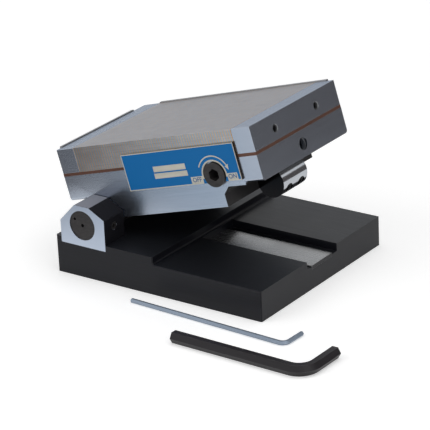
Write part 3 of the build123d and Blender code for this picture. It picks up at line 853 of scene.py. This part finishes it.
def makeTurnArrow(centre):
    radius, half = plateSigns["arcRadius"], plateSigns["arcWidth"] / 2
    wing = plateSigns["headWidth"] / 2
    sweep = [plateSigns[key] for key in ("arcFrom", "arcTo", "arcSteps")]
    arrow = arcBand(centre, radius - half, radius + half, *sweep)
    end = radians(plateSigns["arcTo"])
    tip = end - plateSigns["headLength"] / radius
    head = [(radius - wing, end), (radius + wing, end), (radius, tip)]
    arrow.append([around(centre, r, t) for r, t in head])
    flatPiece("turnArrow", arrow)


def makePlateSigns():
    shaftLow, shaftHigh = levelBox("operating_shaft")
    middle = ((shaftLow + shaftHigh) / 2 - plateLow) / mm
    centre = (middle.x, middle.z)
    cutRadius = (shaftHigh.x - shaftLow.x) / 2 / mm + plateSigns["shaftGap"]
    makeBorder(centre, cutRadius)
    flatPiece("plateFields", [rectangle(*field) for field in plateSigns["fields"]])
    ringRadius = cutRadius + plateSigns["ringWidth"]
    sweep = [plateSigns[key] for key in ("ringFrom", "ringTo", "ringSteps")]
    flatPiece("shaftRing", arcBand(centre, cutRadius, ringRadius, *sweep))
    makeTurnArrow(centre)
    half = plateSigns["wordHeight"] * plateSigns["fieldScale"]
    for name, word in plateSigns["words"].items():
        (x, z), reach = word["at"], word["reach"]
        flatPiece(name + "Field", [rectangle(x - reach, z - half, x + reach, z + half)])
        wordPiece(name, word)
    print("plate signs made")


makePlateSigns()

# socket screws, made in place of the plain ones; sizes in millimetres; outward is the way the head looks on
# the level chuck, apart the axis along which the two screws stand, middleOf the solid they are centred on
stopScrew = {
    "finish": "blackenedSteel", "headRadius": 4.6, "headHeight": 2.8, "chamfer": 0.4,
    "socket": 3.0, "socketDepth": 1.7, "shankRadius": 2.4,
}
screwSets = {
    "endStopScrews": dict(
        stopScrew, node="end_stop_screws", middleOf="end_stop_screws", outward=(-1, 0, 0), apart=1,
    ),
    "backStopScrews": dict(
        stopScrew, node="back_stop_screws", middleOf="back_stop_screws", outward=(0, 1, 0), apart=0,
    ),
    "rollerScrews": {
        "node": "sine_roller_screws", "middleOf": "sine_roller", "outward": (0.7071, 0, -0.7071), "apart": 1,
        "finish": "darkerBlack", "headRadius": 4.25, "headHeight": 5.0, "chamfer": 0.4,
        "socket": 4.0, "socketDepth": 2.7, "shankRadius": 2.4,
    },
}


def geometryTree(name, labels):
    # a tree with the points to fill, named float inputs, a turn and a material
    tree = bpy.data.node_groups.new(name, "GeometryNodeTree")
    tree.interface.new_socket("Geometry", in_out="INPUT", socket_type="NodeSocketGeometry")
    for label in labels:
        tree.interface.new_socket(label, in_out="INPUT", socket_type="NodeSocketFloat")
    tree.interface.new_socket("Turn", in_out="INPUT", socket_type="NodeSocketVector")
    tree.interface.new_socket("Finish", in_out="INPUT", socket_type="NodeSocketMaterial")
    tree.interface.new_socket("Geometry", in_out="OUTPUT", socket_type="NodeSocketGeometry")
    return tree, tree.nodes.new("NodeGroupInput"), tree.nodes.new("NodeGroupOutput")


def calc(tree, operation, *values):
    node = addNode(tree, "ShaderNodeMath", {"operation": operation})
    for i, value in enumerate(values):
        if isinstance(value, (int, float)):
            node.inputs[i].default_value = value
        else:
            tree.links.new(value, node.inputs[i])
    return node.outputs[0]


def shifted(tree, mesh, height):
    place = addNode(tree, "ShaderNodeCombineXYZ")
    tree.links.new(height, place.inputs["Z"])
    move = addNode(tree, "GeometryNodeTransform")
    tree.links.new(mesh, move.inputs["Geometry"])
    tree.links.new(place.outputs[0], move.inputs["Translation"])
    return move.outputs[0]


def placeCopies(tree, enter, leave, shape):
    # one copy of the shape on each point, turned, made real and given its finish
    copies = addNode(tree, "GeometryNodeInstanceOnPoints")
    turn = addNode(tree, "FunctionNodeEulerToRotation")
    tree.links.new(enter.outputs["Turn"], turn.inputs[0])
    tree.links.new(enter.outputs["Geometry"], copies.inputs["Points"])
    tree.links.new(shape, copies.inputs["Instance"])
    tree.links.new(turn.outputs[0], copies.inputs["Rotation"])
    real = addNode(tree, "GeometryNodeRealizeInstances")
    tree.links.new(copies.outputs[0], real.inputs[0])
    finish = addNode(tree, "GeometryNodeSetMaterial")
    tree.links.new(real.outputs[0], finish.inputs["Geometry"])
    tree.links.new(enter.outputs["Finish"], finish.inputs["Material"])
    tree.links.new(finish.outputs[0], leave.inputs["Geometry"])


def makeScrewTree():
    knurlDepth = 0.035
    cornerPerFlat = 0.57735
    labels = (
        "Head Radius", "Head Height", "Chamfer", "Socket", "Socket Depth", "Shank Radius", "Shank Length",
    )
    tree, enter, leave = geometryTree("socketScrew", labels)
    size = enter.outputs
    barrel = calc(tree, "SUBTRACT", size["Head Height"], size["Chamfer"])
    head = addNode(tree, "GeometryNodeMeshCylinder", {"fill_type": "NGON"}, {"Vertices": 72})
    tree.links.new(size["Head Radius"], head.inputs["Radius"])
    tree.links.new(barrel, head.inputs["Depth"])
    # knurl: every other point of the barrel is drawn in by a share of its radius
    index = addNode(tree, "GeometryNodeInputIndex")
    odd = calc(tree, "MULTIPLY", calc(tree, "MODULO", index.outputs[0], 2.0), -knurlDepth)
    where = addNode(tree, "GeometryNodeInputPosition")
    flat = addNode(tree, "ShaderNodeVectorMath", {"operation": "MULTIPLY"})
    flat.inputs[1].default_value = (1, 1, 0)
    tree.links.new(where.outputs[0], flat.inputs[0])
    inward = addNode(tree, "ShaderNodeVectorMath", {"operation": "SCALE"})
    tree.links.new(flat.outputs[0], inward.inputs[0])
    tree.links.new(odd, inward.inputs["Scale"])
    knurl = addNode(tree, "GeometryNodeSetPosition")
    tree.links.new(head.outputs["Mesh"], knurl.inputs["Geometry"])
    tree.links.new(inward.outputs[0], knurl.inputs["Offset"])
    raised = addNode(tree, "GeometryNodeExtrudeMesh", {"mode": "FACES"})
    raised.inputs["Individual"].default_value = False
    tree.links.new(knurl.outputs[0], raised.inputs["Mesh"])
    tree.links.new(head.outputs["Top"], raised.inputs["Selection"])
    tree.links.new(size["Chamfer"], raised.inputs["Offset Scale"])
    narrow = addNode(tree, "GeometryNodeScaleElements", {"domain": "FACE"})
    tree.links.new(raised.outputs["Mesh"], narrow.inputs["Geometry"])
    tree.links.new(raised.outputs["Top"], narrow.inputs["Selection"])
    left = calc(tree, "SUBTRACT", size["Head Radius"], size["Chamfer"])
    tree.links.new(calc(tree, "DIVIDE", left, size["Head Radius"]), narrow.inputs["Scale"])
    drop = calc(tree, "SUBTRACT", calc(tree, "MULTIPLY", barrel, -0.5), size["Chamfer"])
    body = shifted(tree, narrow.outputs[0], drop)
    hexagon = addNode(tree, "GeometryNodeMeshCylinder", {"fill_type": "NGON"}, {"Vertices": 6})
    tree.links.new(calc(tree, "MULTIPLY", size["Socket"], cornerPerFlat), hexagon.inputs["Radius"])
    tree.links.new(calc(tree, "MULTIPLY", size["Socket Depth"], 2.0), hexagon.inputs["Depth"])
    cut = addNode(tree, "GeometryNodeMeshBoolean", {"operation": "DIFFERENCE", "solver": "EXACT"})
    tree.links.new(body, cut.inputs["Mesh 1"])
    tree.links.new(hexagon.outputs["Mesh"], cut.inputs["Mesh 2"])
    shank = addNode(tree, "GeometryNodeMeshCylinder", {"fill_type": "NGON"}, {"Vertices": 32})
    tree.links.new(size["Shank Radius"], shank.inputs["Radius"])
    tree.links.new(size["Shank Length"], shank.inputs["Depth"])
    under = calc(tree, "SUBTRACT", calc(tree, "MULTIPLY", size["Shank Length"], -0.5), size["Head Height"])
    both = addNode(tree, "GeometryNodeJoinGeometry")
    tree.links.new(cut.outputs["Mesh"], both.inputs[0])
    tree.links.new(shifted(tree, shank.outputs["Mesh"], under), both.inputs[0])
    placeCopies(tree, enter, leave, both.outputs[0])
    return tree


def makeThreadTree():
    # a ridge wound inside a tapped hole, down from its mouth
    tree, enter, leave = geometryTree("tappedThread", ("Radius", "Depth", "Turns", "Ridge"))
    winding = addNode(tree, "GeometryNodeCurveSpiral", {}, {"Resolution": 20})
    for label in ("Start Radius", "End Radius"):
        tree.links.new(enter.outputs["Radius"], winding.inputs[label])
    tree.links.new(enter.outputs["Depth"], winding.inputs["Height"])
    tree.links.new(enter.outputs["Turns"], winding.inputs["Rotations"])
    tooth = addNode(tree, "GeometryNodeCurvePrimitiveCircle", {"mode": "RADIUS"}, {"Resolution": 3})
    tree.links.new(enter.outputs["Ridge"], tooth.inputs["Radius"])
    ridge = addNode(tree, "GeometryNodeCurveToMesh", {}, {"Fill Caps": True})
    tree.links.new(winding.outputs[0], ridge.inputs["Curve"])
    tree.links.new(tooth.outputs[0], ridge.inputs["Profile Curve"])
    placeCopies(tree, enter, leave, ridge.outputs[0])
    return tree


def fillPoints(name, tree, points, values, outward, finish):
    # points and outward are given with the chuck level; the result is one plain mesh in its place
    seats = bpy.data.meshes.new(name + "Seats")
    seats.from_pydata([levelToRow @ p for p in points], [], [])
    holder = bpy.data.objects.new(name + "Seats", seats)
    bpy.context.scene.collection.objects.link(holder)
    maker = holder.modifiers.new(name, "NODES")
    maker.node_group = tree
    turn = (levelToRow.to_3x3() @ Vector(outward)).to_track_quat("Z", "Y").to_euler()
    given = dict(values, Turn=Vector(turn), Finish=materials[finish])
    for item in tree.interface.items_tree:
        if item.item_type == "SOCKET" and item.in_out == "INPUT" and item.name in given:
            maker[item.identifier] = given[item.name]
    made = holder.evaluated_get(bpy.context.evaluated_depsgraph_get())
    mesh = bpy.data.meshes.new_from_object(made)
    bpy.data.objects.remove(holder)
    mesh.polygons.foreach_set("use_smooth", [True] * len(mesh.polygons))
    mesh.set_sharp_from_angle(angle=radians(30))
    piece = bpy.data.objects.new(name, mesh)
    bpy.context.scene.collection.objects.link(piece)
    return piece


screwTree = makeScrewTree()
for name, kind in screwSets.items():
    points = [rowToLevel @ v.co for v in nodes[kind["node"]].data.vertices]
    outward, apart = Vector(kind["outward"]), kind["apart"]
    top = max(p.dot(outward) for p in points)
    bottom = min(p.dot(outward) for p in points)
    ends = [pick(p[apart] for p in points) for pick in (min, max)]
    low, high = levelBox(kind["middleOf"])
    middle = (low + high) / 2
    seats = []
    for place in (ends[0] + kind["headRadius"] * mm, ends[1] - kind["headRadius"] * mm):
        seat = middle.copy()
        seat[apart] = place
        seats.append(seat + outward * (top - seat.dot(outward)))
    values = {
        "Head Radius": kind["headRadius"] * mm,
        "Head Height": kind["headHeight"] * mm,
        "Chamfer": kind["chamfer"] * mm,
        "Socket": kind["socket"] * mm,
        "Socket Depth": kind["socketDepth"] * mm,
        "Shank Radius": kind["shankRadius"] * mm,
        "Shank Length": top - bottom - kind["headHeight"] * mm,
    }
    piece = fillPoints(name, screwTree, seats, values, outward, kind["finish"])
    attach(piece, "chuck")
    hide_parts(kind["node"])
    print(name, len(piece.data.polygons), "faces")

# threads in the tapped holes of the right end, in millimetres
threadSets = {
    "railThreads": {
        "holes": "railHoles", "radius": 2.42, "from": 0.7, "depth": 11.0, "pitch": 1.0, "ridge": 0.3,
    },
    "liftThread": {
        "holes": "liftHole", "radius": 4.38, "from": 1.0, "depth": 15.0, "pitch": 1.5, "ridge": 0.45,
    },
}
threadTree = makeThreadTree()
rightEnd = levelBox("right_end_rail")[1].x
for name, kind in threadSets.items():
    seats = holePlaces(chuckPlan[kind["holes"]], rightEnd - kind["from"] * mm)
    values = {
        "Radius": kind["radius"] * mm,
        "Depth": kind["depth"] * mm,
        "Turns": kind["depth"] / kind["pitch"],
        "Ridge": kind["ridge"] * mm,
    }
    piece = fillPoints(name, threadTree, seats, values, (-1, 0, 0), "threadSteel")
    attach(piece, "chuck")
    print(name, len(piece.data.polygons), "faces")

bpy.context.scene.view_settings.view_transform = "Standard"
